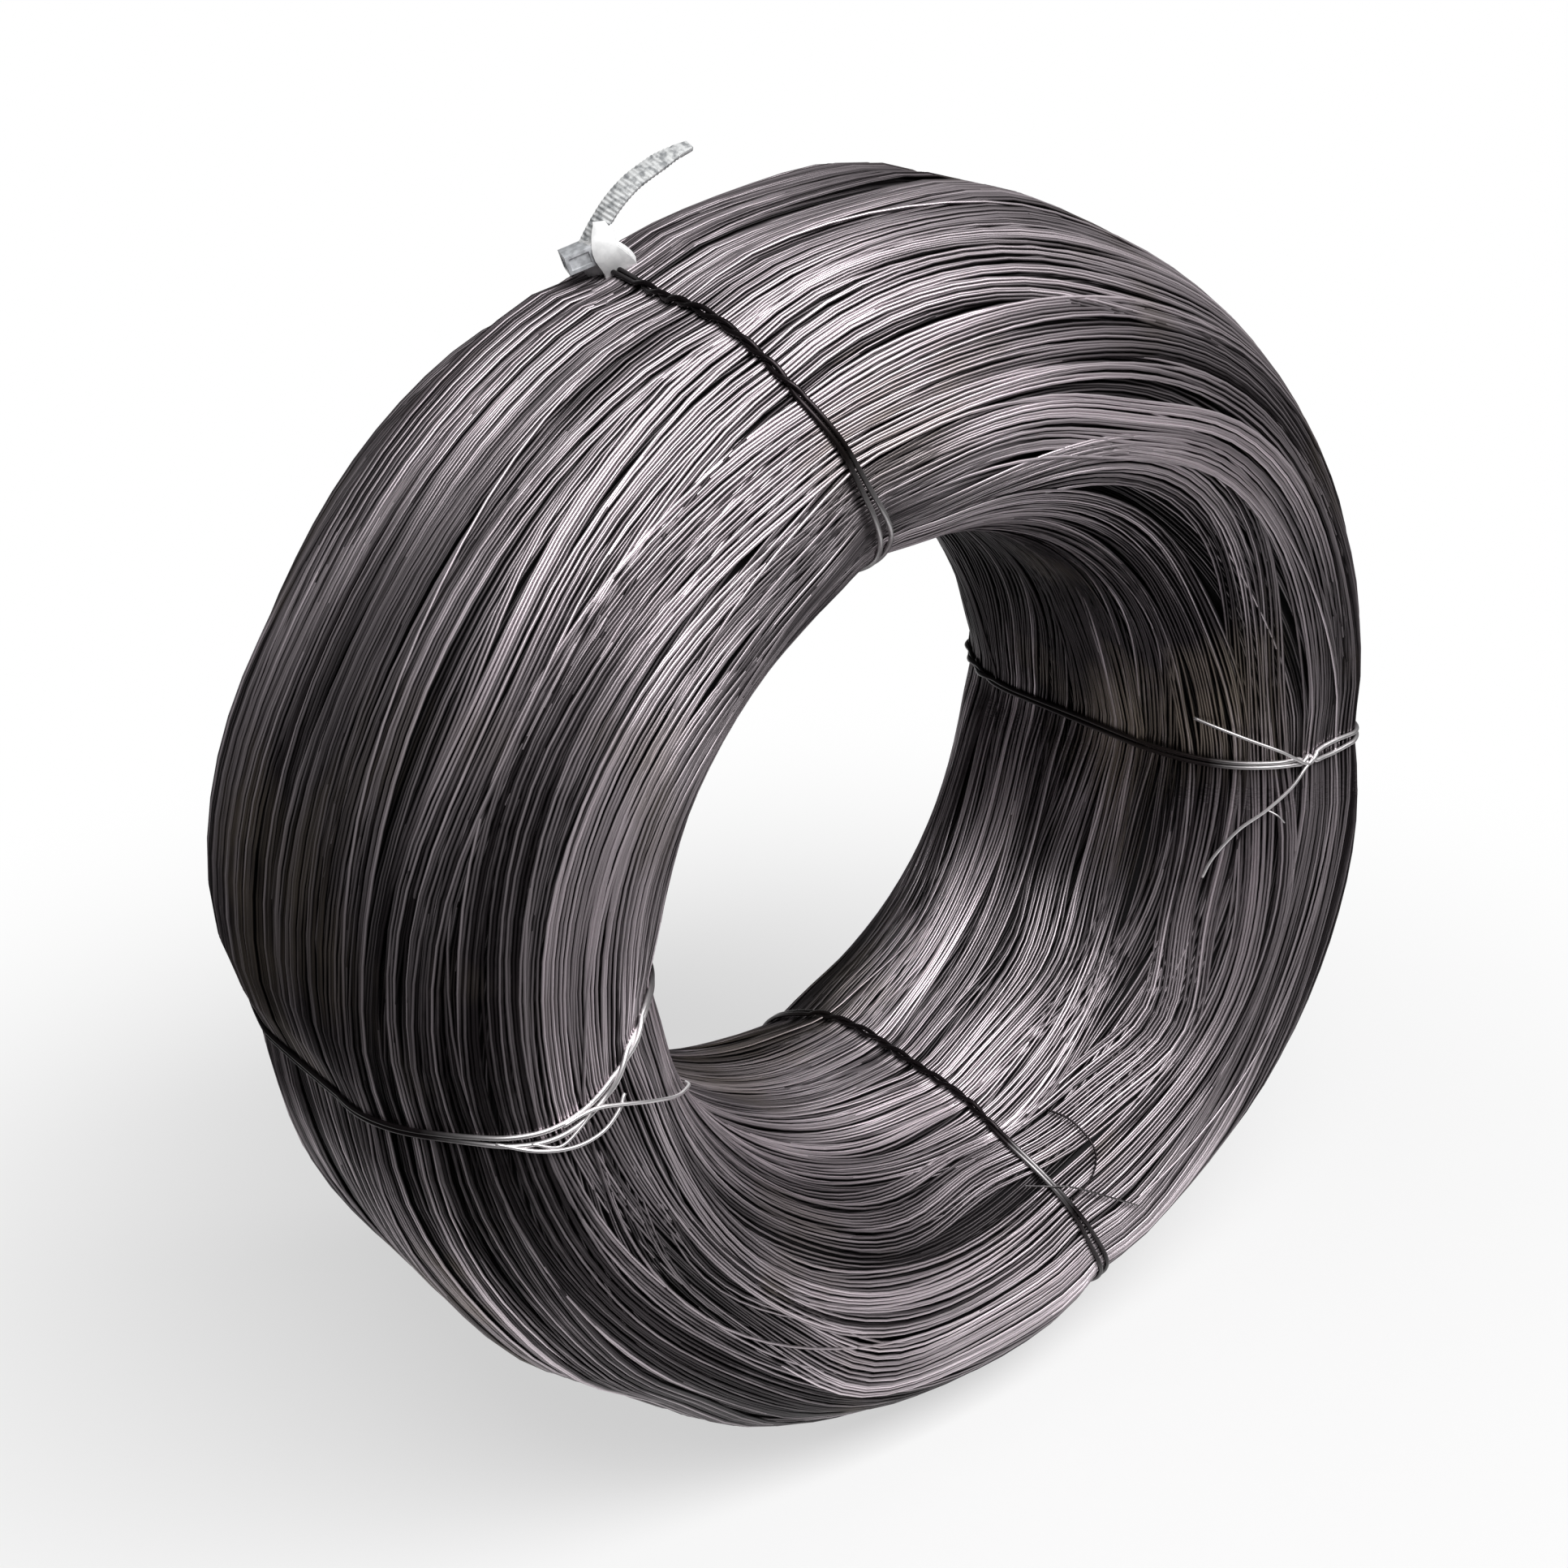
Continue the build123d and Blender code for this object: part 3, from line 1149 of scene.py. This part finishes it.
    def build(self, clear: Material, white: Material, ribbed: Material) -> None:
        """Builds the head, the loop and the tail, and dresses each.

        Args:
            clear: Finish of the head.
            white: Finish of the loop and of the band in front of it.
            ribbed: Finish of the tail.
        """
        pieces = (
            (self.head(), clear),
            (self.strap(self.loop), white),
            (self.strap(self.band), white),
            (self.strap(self.tail), ribbed),
        )
        for piece, material in pieces:
            place_mesh(piece, self.frame_matrix())
            finish_piece(piece, Node.CABLE_TIE, material)


# Materials

WIRE_VALUES = ("Tone", "Deep", "Run", "Turn")
STREAK_SHARE = 0.9


@dataclass(frozen=True)
class NodeGraph:
    """A node tree that is filled one node at a time."""

    tree: ShaderNodeTree

    def feed(self, node: ShaderNode, inputs: dict[str | int, object]) -> None:
        """Links or sets a node's inputs.

        Args:
            node: The node to feed.
            inputs: For each input, the output socket that feeds it or a constant.
        """
        for name, value in inputs.items():
            if isinstance(value, NodeSocket):
                self.tree.links.new(value, node.inputs[name])
            else:
                node.inputs[name].default_value = value

    def add(self, kind: str, inputs: dict[str | int, object], **settings: object) -> ShaderNode:
        """Adds one shader node.

        Args:
            kind: The node's type, without the words ShaderNode in front.
            inputs: For each input, the output socket that feeds it or a constant.
            settings: The node's own choices, which are made before its inputs are fed.

        Returns:
            The node.
        """
        node = self.tree.nodes.new(f"ShaderNode{kind}")
        for name, choice in settings.items():
            setattr(node, name, choice)
        self.feed(node, inputs)
        return node

    def noise(self, where: NodeSocket, scale: float, detail: float, rough: float) -> NodeSocket:
        """Adds a noise texture.

        Args:
            where: The coordinates that it reads.
            scale: Its size, in spots a metre.
            detail: Its layers of finer spots.
            rough: How strong the finer layers are.

        Returns:
            The noise, from 0 to 1.
        """
        return self.add("TexNoise", {
            "Vector": where, "Scale": scale, "Detail": detail, "Roughness": rough,
        }).outputs["Fac"]

    def ramp(
        self, value: NodeSocket, start: float, stop: float, low: float = 0.0, high: float = 1.0,
        **settings: object,
    ) -> NodeSocket:
        """Maps a range of values onto another.

        Args:
            value: The value to map.
            start: The value that gives low.
            stop: The value that gives high.
            low: The result at the start.
            high: The result at the stop.
            settings: The node's own choices.

        Returns:
            The mapped value.
        """
        return self.add("MapRange", {
            "Value": value, "From Min": start, "From Max": stop, "To Min": low, "To Max": high,
        }, **settings).outputs["Result"]

    def blend(self, share: NodeSocket, first: object, second: object) -> NodeSocket:
        """Blends two colours.

        Args:
            share: The second colour's share.
            first: A colour or the socket that gives it.
            second: Another colour or socket.

        Returns:
            The blended colour.
        """
        return self.add(
            "Mix", {"Factor": share, "A": first, "B": second}, data_type="RGBA"
        ).outputs["Result"]

    def place(self) -> NodeSocket:
        """Gives the place on the object, in metres."""
        return self.add("TexCoord", {}).outputs["Object"]


def new_material(name: str) -> tuple[Material, NodeGraph, ShaderNode]:
    """Makes a node material with one Principled shader.

    Args:
        name: The material's name.

    Returns:
        The material, its node graph and its Principled shader.
    """
    material = bpy.data.materials.new(name)
    material.use_nodes = True
    tree = material.node_tree
    return material, NodeGraph(tree), tree.nodes["Principled BSDF"]


def oxide_and_painted_light_group() -> ShaderNodeTree:
    """Builds the group that mottles annealed wire with oxide patches, worn streaks and a fine
    grain, and paints light and shade: its Tone carries painted light and shade, and Deep darkens
    the colour as painted shade.

    Returns:
        The node group, with Tone, Deep, Run, Turn and three colours as inputs.
    """
    tree = bpy.data.node_groups.new("annealing_oxide_and_painted_light", "ShaderNodeTree")
    for side, kind, names in (
        ("INPUT", "NodeSocketFloat", WIRE_VALUES),
        ("INPUT", "NodeSocketColor", ("Dark", "Light", "Warm")),
        ("OUTPUT", "NodeSocketColor", ("Color",)),
        ("OUTPUT", "NodeSocketFloat", ("Roughness", "Height")),
    ):
        for name in names:
            tree.interface.new_socket(name, in_out=side, socket_type=kind)
    graph = NodeGraph(tree)
    entry = tree.nodes.new("NodeGroupInput").outputs
    place = graph.place()

    along = graph.add("CombineXYZ", {"X": entry["Run"], "Y": entry["Turn"]}).outputs["Vector"]
    streak = graph.noise(along, scale=16.0, detail=5.0, rough=0.72)
    patch = graph.noise(place, scale=16.0, detail=3.0, rough=0.55)
    grain = graph.noise(place, scale=1800.0, detail=2.0, rough=0.6)

    tone = graph.add(
        "Math", {0: streak, 1: STREAK_SHARE, 2: entry["Tone"]}, operation="MULTIPLY_ADD"
    )
    light = graph.ramp(tone.outputs["Value"], start=0.5, stop=1.5)
    oxide = graph.blend(light, entry["Dark"], entry["Light"])
    warmth = graph.ramp(patch, start=0.56, stop=0.74, high=0.7)
    warmed = graph.blend(warmth, oxide, entry["Warm"])
    shadow = graph.ramp(entry["Deep"], start=0.14, stop=0.42, low=1.0, high=0.1)
    shade = graph.add("VectorMath", {0: warmed, "Scale": shadow}, operation="SCALE")
    graph.feed(tree.nodes.new("NodeGroupOutput"), {
        "Color": shade.outputs["Vector"],
        "Roughness": graph.ramp(streak, start=0.3, stop=0.75, low=0.46, high=0.27),
        "Height": grain,
    })
    return tree


@dataclass(frozen=True)
class AnnealedWireFinish:
    """Black annealing oxide on iron wire, in linear colours."""

    name: str
    dark: Colour
    light: Colour
    warm: Colour
    metallic: float = 0.8
    ior: float = 1.6
    grain: float = 0.12
    grain_depth: float = 0.05 * MM

    def material(self, oxide: ShaderNodeTree) -> Material:
        """Builds the material round the shared group, which paints oxide, light and shade.

        Args:
            oxide: The group that mottles the wire and paints light and shade on it.

        Returns:
            The finished material.
        """
        material, graph, shader = new_material(self.name)
        group = graph.add(
            "Group", {"Dark": self.dark, "Light": self.light, "Warm": self.warm}, node_tree=oxide
        )
        for name in WIRE_VALUES:
            value = graph.add("Attribute", {}, attribute_name=name.lower())
            graph.feed(group, {name: value.outputs["Fac"]})
        bump = graph.add("Bump", {
            "Strength": self.grain, "Distance": self.grain_depth, "Height": group.outputs["Height"],
        })
        graph.feed(shader, {
            "Base Color": group.outputs["Color"],
            "Roughness": group.outputs["Roughness"],
            "Normal": bump.outputs["Normal"],
            "Metallic": self.metallic,
            "IOR": self.ior,
        })
        return material


@dataclass(frozen=True)
class ShadowedWireFinish:
    """The unseen turns below the skin, painted near-black as shade, which only show as darkness
    between the others.
    """

    name: str
    colour: Colour
    lift: float = 1.6
    roughness: float = 0.8

    def material(self) -> Material:
        """Builds a near-black, faintly mottled material.

        Returns:
            The finished material.
        """
        material, graph, shader = new_material(self.name)
        mottle = graph.noise(graph.place(), scale=60.0, detail=2.0, rough=0.5)
        lifted = tuple(part * self.lift for part in self.colour[:3]) + (1.0,)
        graph.feed(shader, {
            "Base Color": graph.blend(mottle, self.colour, lifted), "Roughness": self.roughness,
        })
        return material


@dataclass(frozen=True)
class NylonFinish:
    """Natural nylon, milky and slightly translucent."""

    name: str
    colour: Colour
    transmission: float
    mottle: float = 0.15
    spot_colour: Colour = (0.25, 0.26, 0.27, 1.0)
    roughness: float = 0.34
    ior: float = 1.53

    def material(self) -> Material:
        """Builds the material.

        Returns:
            The finished material.
        """
        material, graph, shader = new_material(self.name)
        # Grey spots mottle the nylon; on the ribbed tail they are painted shade for the shadows of
        # its teeth.
        cloud = graph.noise(graph.place(), scale=620.0, detail=2.0, rough=0.5)
        share = graph.ramp(cloud, start=0.42, stop=0.62, high=self.mottle)
        graph.feed(shader, {
            "Base Color": graph.blend(share, self.colour, self.spot_colour),
            "Roughness": self.roughness,
            "IOR": self.ior,
            "Transmission Weight": self.transmission,
        })
        return material


@dataclass(frozen=True)
class FloorFinish:
    """Pale matt floor that keeps the coil's shadow and fades into the white background."""

    colour: Colour = (0.85, 0.85, 0.85, 1.0)
    roughness: float = 0.9
    gloss: float = 0.1
    veil: float = 0.6
    fade: tuple[float, float] = (0.12, 0.5)

    def material(self) -> Material:
        """Builds the floor's material, which is plain white far out where it is seen directly.

        Returns:
            The finished material.
        """
        material, graph, shader = new_material("studio_floor")
        graph.feed(shader, {
            "Base Color": self.colour,
            "Roughness": self.roughness,
            "Specular IOR Level": self.gloss,
        })
        distance = graph.add("VectorMath", {0: graph.place()}, operation="LENGTH")
        fade = graph.ramp(
            distance.outputs["Value"], *self.fade, low=self.veil,
            interpolation_type="SMOOTHERSTEP",
        )
        rays = graph.add("LightPath", {}).outputs
        seen = rays["Is Camera Ray"]
        for name in ("Is Glossy Ray", "Is Transmission Ray"):
            seen = graph.add("Math", {0: seen, 1: rays[name]}, operation="MAXIMUM").outputs["Value"]
        share = graph.add("Math", {0: fade, 1: seen}, operation="MULTIPLY").outputs["Value"]
        mix = graph.add("MixShader", {
            "Fac": share,
            1: shader.outputs["BSDF"],
            2: graph.add("Emission", {}).outputs["Emission"],
        })
        output = graph.tree.nodes["Material Output"]
        graph.feed(output, {"Surface": mix.outputs["Shader"]})
        return material


# Studio


@dataclass
class Studio:
    """Floor, lights, world and the camera at the photograph's place."""

    shape: RingShape
    azimuth: float = -38.35
    elevation: float = 24.41
    distance: float = 630.7 * MM
    focal_pixels: float = 3005.6
    image_pixels: float = 1932.0
    centre_pixel: tuple[float, float] = (1027.2, 999.4)
    sensor: float = 36.0
    nearest: float = 10 * MM
    room: float = 0.07
    lamp_place: Triple = (-0.05, -0.92, 1.22)
    lamp_size: tuple[float, float] = (1.8, 0.7)
    lamp_watts: float = 35.0
    floor_ends: tuple[float, float] = (-0.19, 4.2)
    floor_halves: tuple[float, float] = (0.22, 1.75)

    def camera(self) -> None:
        """Adds the camera, aimed at the bore's centre and shifted as the photograph is framed."""
        azimuth, elevation = math.radians(self.azimuth), math.radians(self.elevation)
        back = Vector((
            math.sin(azimuth) * math.cos(elevation),
            -math.cos(azimuth) * math.cos(elevation),
            math.sin(elevation),
        ))
        data = bpy.data.cameras.new("camera")
        data.sensor_width = self.sensor
        data.lens = self.sensor * self.focal_pixels / self.image_pixels
        data.shift_x = (self.image_pixels / 2 - self.centre_pixel[0]) / self.image_pixels
        data.shift_y = (self.centre_pixel[1] - self.image_pixels / 2) / self.image_pixels
        data.clip_start = self.nearest
        camera = bpy.data.objects.new("camera", data)
        camera.location = back * self.distance
        camera.rotation_mode = "QUATERNION"
        camera.rotation_quaternion = (-back).to_track_quat("-Z", "Y")
        bpy.context.scene.collection.objects.link(camera)
        bpy.context.scene.camera = camera

    def lamp(self) -> None:
        """Adds one wide soft lamp in front of the coil and above it, which faces the coil."""
        data = bpy.data.lights.new("key_lamp", "AREA")
        data.shape = "RECTANGLE"
        data.size, data.size_y = self.lamp_size
        data.energy = self.lamp_watts
        lamp = bpy.data.objects.new("key_lamp", data)
        lamp.location = self.lamp_place
        lamp.rotation_mode = "QUATERNION"
        lamp.rotation_quaternion = (-Vector(self.lamp_place)).to_track_quat("-Z", "Y")
        bpy.context.scene.collection.objects.link(lamp)

    def world(self) -> None:
        """Gives an even, dim room, so that the wires show the lamp and stay dark elsewhere."""
        world = bpy.data.worlds.new("studio")
        bpy.context.scene.world = world
        world.use_nodes = True
        background = world.node_tree.nodes["Background"]
        background.inputs["Color"].default_value = (1, 1, 1, 1)
        background.inputs["Strength"].default_value = self.room

    def floor(self) -> None:
        """Lays a pale sweep of paper under the rim, as wide as the picture and running far back."""
        deselect_all()
        bpy.ops.mesh.primitive_plane_add(size=2, location=(0, 0, -self.shape.section.outer_radius))
        floor = active_object("studio_floor")
        turn = Matrix.Rotation(math.radians(self.azimuth), 4, "Z")
        near, far = self.floor_ends
        near_half, far_half = self.floor_halves
        for vertex in floor.data.vertices:
            behind = vertex.co.y > 0
            half, along = (far_half, far) if behind else (near_half, near)
            vertex.co = turn @ Vector((math.copysign(half, vertex.co.x), along, 0))
        floor.data.materials.append(FloorFinish().material())

    def build(self) -> None:
        """Sets the whole studio up."""
        self.world()
        self.floor()
        self.lamp()
        self.camera()
        bpy.context.scene.view_settings.view_transform = "Standard"


# Rows of spots: degrees round the ring, facing, value, reach round the ring, reach in facing.

SLIPS = tuple(Slip(SoftSpot(*row)) for row in (
    (276, 128, 9.0, 15, 34),
    (252, 75, -6.0, 12, 30),
    (72, 60, 7.0, 13, 40),
    (318, 150, -8.0, 13, 40),
    (150, 20, 5.0, 14, 40),
    (30, 215, 7.0, 14, 40),
))

LAYERS = (
    Layer("under", turns=400, depth=1.9, seed=21),
    Layer("outer", turns=416, depth=0.8, seed=22, slips=SLIPS),
    Layer(
        "stray", turns=6, depth=0.2, seed=27, pieces=1, sweep=2.6, shallowest=-0.05,
        hank=Spread(turns=1, drift=2.6, rise=0.05, waves=(1, 2, 3)),
    ),
)

TIES = {
    Node.TIE_TOP: Profile((
        (21, 112.5), (41, 112.5), (67, 113.0), (82, 112.0), (96, 111.0), (110, 109.5), (125, 108.0),
        (177, 108.0), (260, 110.0), (310, 110.6), (341, 110.5), (351, 111.1),
    )),
    Node.TIE_RIGHT: Profile(((90, 4.2), (126, 3.6), (150, 4.6), (206, 4.0), (300, 4.5))),
    Node.TIE_BOTTOM: Profile((
        (77, 289.0), (90, 288.0), (103, 286.5), (115, 285.5), (133, 284.2), (146, 285.0),
        (168, 285.5), (192, 286.0), (210, 284.5), (222, 282.5), (265, 283.0), (320, 287.0),
        (345, 289.0),
    )),
    Node.TIE_LEFT: Profile((
        (17, 187.5), (57, 186.5), (71, 187.0), (83, 187.5), (90, 187.0), (96, 185.0), (100, 183.0),
        (104, 180.0), (112, 178.0), (177, 179.0), (265, 184.0), (345, 187.5),
    )),
}

SAGS = tuple(SoftSpot(*row) for row in (
    (112, 332, 9.0, 24, 22),
    (146, 335, 4.2, 17, 26),
    (192, 338, 6.0, 9.5, 28),
    (212, 350, 3.4, 14, 40),
    (5, 48, 5.0, 13, 28),
    (15, 42, 3.0, 32, 28),
    (300, 48, 2.0, 13, 28),
    (232, 15, 3.8, 8, 35),
    (79, 345, -3.8, 9, 30),
))

# Painted light and shade: these spots lighten the wires' tone where the coil is lit and darken it
# where it lies in shade, as in the bore.
PAINTED_LIGHT_SPOTS = tuple(SoftSpot(*row) for row in (
    (30, 188, -0.95, 40, 66),
    (345, 180, 0.05, 20, 40),
    (316, 97, -0.28, 26, 45),
    (190, 0, -0.45, 40, 75),
    (220, 80, -0.2, 18, 50),
    (240, 145, 0.12, 16, 35),
    (268, 150, 0.12, 16, 35),
    (172, 72, 0.14, 14, 35),
    (141, 352, 0.16, 14, 30),
    (250, 15, -0.35, 24, 60),
    (131, 55, 0.28, 22, 48),
    (122, 0, -0.15, 20, 40),
    (97, 85, 0.38, 18, 80),
    (73, 60, 0.17, 20, 55),
))


def wire_ties(shape: RingShape) -> tuple[WireTie, ...]:
    """Lists the four wire ties with their twists, loose ends and the stretches whose strands are
    painted lighter as highlight.

    Args:
        shape: The ring that they are bound round.

    Returns:
        The ties, not built yet.
    """
    return (
        WireTie(
            Node.TIE_TOP, shape,
            parting=Profile((
                (20, 0.62), (78, 0.62), (92, 1.2), (108, 1.6), (125, 0.8), (300, 0.62),
            )),
            painted_highlight=Profile((
                (60, 0.06), (82, 0.2), (94, 0.6), (112, 0.75), (124, 0.5), (138, 0.05), (300, 0.0),
            )),
            twists=((2, 64, 4), (200, 260, 3)),
            ends=(
                LooseEnd(((110.3, 284, 0.4), (114, 277, 1.3), (117, 268, 1.0)), painted_highlight=0.5),
                LooseEnd(((110.3, 284, 0.6), (107, 278, 1.4), (103, 270, 1.0)), painted_highlight=0.5),
            ),
            seed=31,
        ),
        WireTie(
            Node.TIE_RIGHT, shape,
            parting=Profile((
                (80, 0.9), (88, 1.9), (94, 1.9), (101, 0.55), (130, 0.75), (200, 0.62),
            )),
            painted_highlight=Profile((
                (70, 0.3), (84, 0.95), (112, 1.0), (119, 0.7), (126, 0.15), (160, 0.0), (300, 0.0),
            )),
            twists=((97, 104, 1), (210, 280, 3)),
            ends=(
                LooseEnd((
                    (3.5, 99, 0.4), (3.8, 102, 1.1), (6.5, 109, 1.5), (9, 117, 1.5),
                    (11.5, 125, 1.3), (13, 131, 0.6),
                )),
                LooseEnd((
                    (4, 99, 0.5), (3, 102, 1.2), (0.5, 106, 1.6), (-3, 112, 1.6), (-6.5, 118, 1.5),
                    (-10.5, 122, 1.3), (-13.5, 124, 1.1), (-16.5, 125, 0.6),
                )),
                LooseEnd(
                    ((-3, 112, 1.2), (-3.8, 109, 1.7), (-5, 107, 1.0)), radius=0.2, painted_highlight=0.8
                ),
            ),
            seed=32,
        ),
        WireTie(
            Node.TIE_BOTTOM, shape,
            parting=Profile((
                (70, 0.9), (80, 1.3), (96, 0.9), (106, 0.45), (130, 0.45), (140, 0.62), (300, 0.62),
            )),
            painted_highlight=Profile((
                (95, 0.0), (103, 0.2), (112, 0.45), (126, 0.4), (134, 0.05), (300, 0.0),
            )),
            twists=((134, 214, 5), (280, 340, 3)),
            ends=(
                LooseEnd((
                    (293.5, 129, 0.2), (295, 122, 0.7), (294.5, 113, 0.9), (291.5, 108, 0.8),
                    (287, 106, 0.5),
                ), radius=0.3, painted_highlight=0.15),
                LooseEnd((
                    (281.5, 117, 0.3), (285, 113, 0.9), (288, 109, 1.1), (292.5, 99, 0.8),
                    (295.5, 90, 0.4),
                ), radius=0.25, painted_highlight=0.3),
            ),
            seed=33,
        ),
        WireTie(
            Node.TIE_LEFT, shape,
            parting=Profile(((30, 0.62), (60, 0.7), (76, 1.3), (90, 1.2), (100, 0.7), (300, 0.62))),
            painted_highlight=Profile((
                (40, 0.1), (57, 0.3), (68, 0.85), (96, 1.0), (112, 0.8), (130, 0.1), (300, 0.0),
            )),
            twists=((94, 108, 1), (215, 285, 3)),
            ends=(
                LooseEnd((
                    (186.8, 82, 0.3), (186.3, 87, 1.1), (186.5, 92, 1.5), (189, 103, 1.5),
                    (193.5, 114, 1.4), (202, 132, 0.9), (206, 140, 0.4),
                )),
                LooseEnd((
                    (187, 66, 0.1), (188.2, 75, 0.9), (189.3, 83, 1.2), (189.3, 90, 1.3),
                    (188, 95, 1.0), (186.5, 98, 0.3),
                ), painted_highlight=0.9),
                LooseEnd((
                    (187.5, 74, 0.2), (188.6, 80, 0.9), (187.6, 86, 1.0), (186.6, 89, 0.8),
                ), radius=0.35, painted_highlight=0.8),
            ),
            seed=34,
        ),
    )


def main() -> None:
    """Builds the coil's pieces in order, then the studio, and notes the sizes."""
    logging.basicConfig(level=logging.INFO, format="%(message)s")
    low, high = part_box(Node.WIRE_COIL.value)
    bore = next(mount for mount in frame["record"]["mounts"] if mount["name"] == "bore")
    section = RingSection(
        outer_radius=(high[0] - low[0]) / 2,
        bore_radius=bore["dims"]["r_mm"] * MM,
        half_width=(high[1] - low[1]) / 2,
    )
    shape = RingShape(section, TIES, SAGS)
    # The wires' group mottles them with oxide and paints their light and shade.
    oxide = oxide_and_painted_light_group()
    wire = AnnealedWireFinish(
        "annealed_wire",
        dark=(0.045, 0.037, 0.041, 1.0),
        light=(0.98, 0.87, 0.925, 1.0),
        warm=(0.30, 0.25, 0.20, 1.0),
    ).material(oxide)
    # Painted shade: the turns below the skin are coloured near-black for the shade between the
    # outer turns.
    below = ShadowedWireFinish("wire_below", (0.006, 0.005, 0.006, 1.0)).material()

    winding = Winding(shape, LAYERS, PAINTED_LIGHT_SPOTS)
    finish_piece(winding.core_mesh(), Node.WIRE_COIL, below)
    for layer in winding.layers:
        for piece in winding.layer_meshes(layer):
            finish_piece(piece, Node.WIRE_COIL, wire)

    tie_wire = AnnealedWireFinish(
        "tie_wire",
        dark=(0.020, 0.015, 0.017, 1.0),
        light=(0.86, 0.83, 0.84, 1.0),
        warm=(0.05, 0.04, 0.035, 1.0),
    ).material(oxide)
    for tie in wire_ties(shape):
        tie.build(tie_wire)
    clear = NylonFinish("nylon_clear", (0.76, 0.78, 0.81, 1.0), transmission=0.35, mottle=0.5)
    white = NylonFinish("nylon_white", (0.80, 0.80, 0.80, 1.0), transmission=0.0)
    # Painted shade: the ribbed tail's heavy grey mottle stands for the shadows of its teeth.
    ribbed = NylonFinish("nylon_ribbed", (0.68, 0.69, 0.69, 1.0), transmission=0.1, mottle=0.9)
    CableTie().build(clear.material(), white.material(), ribbed.material())

    Studio(shape).build()


if __name__ == "__main__":
    main()
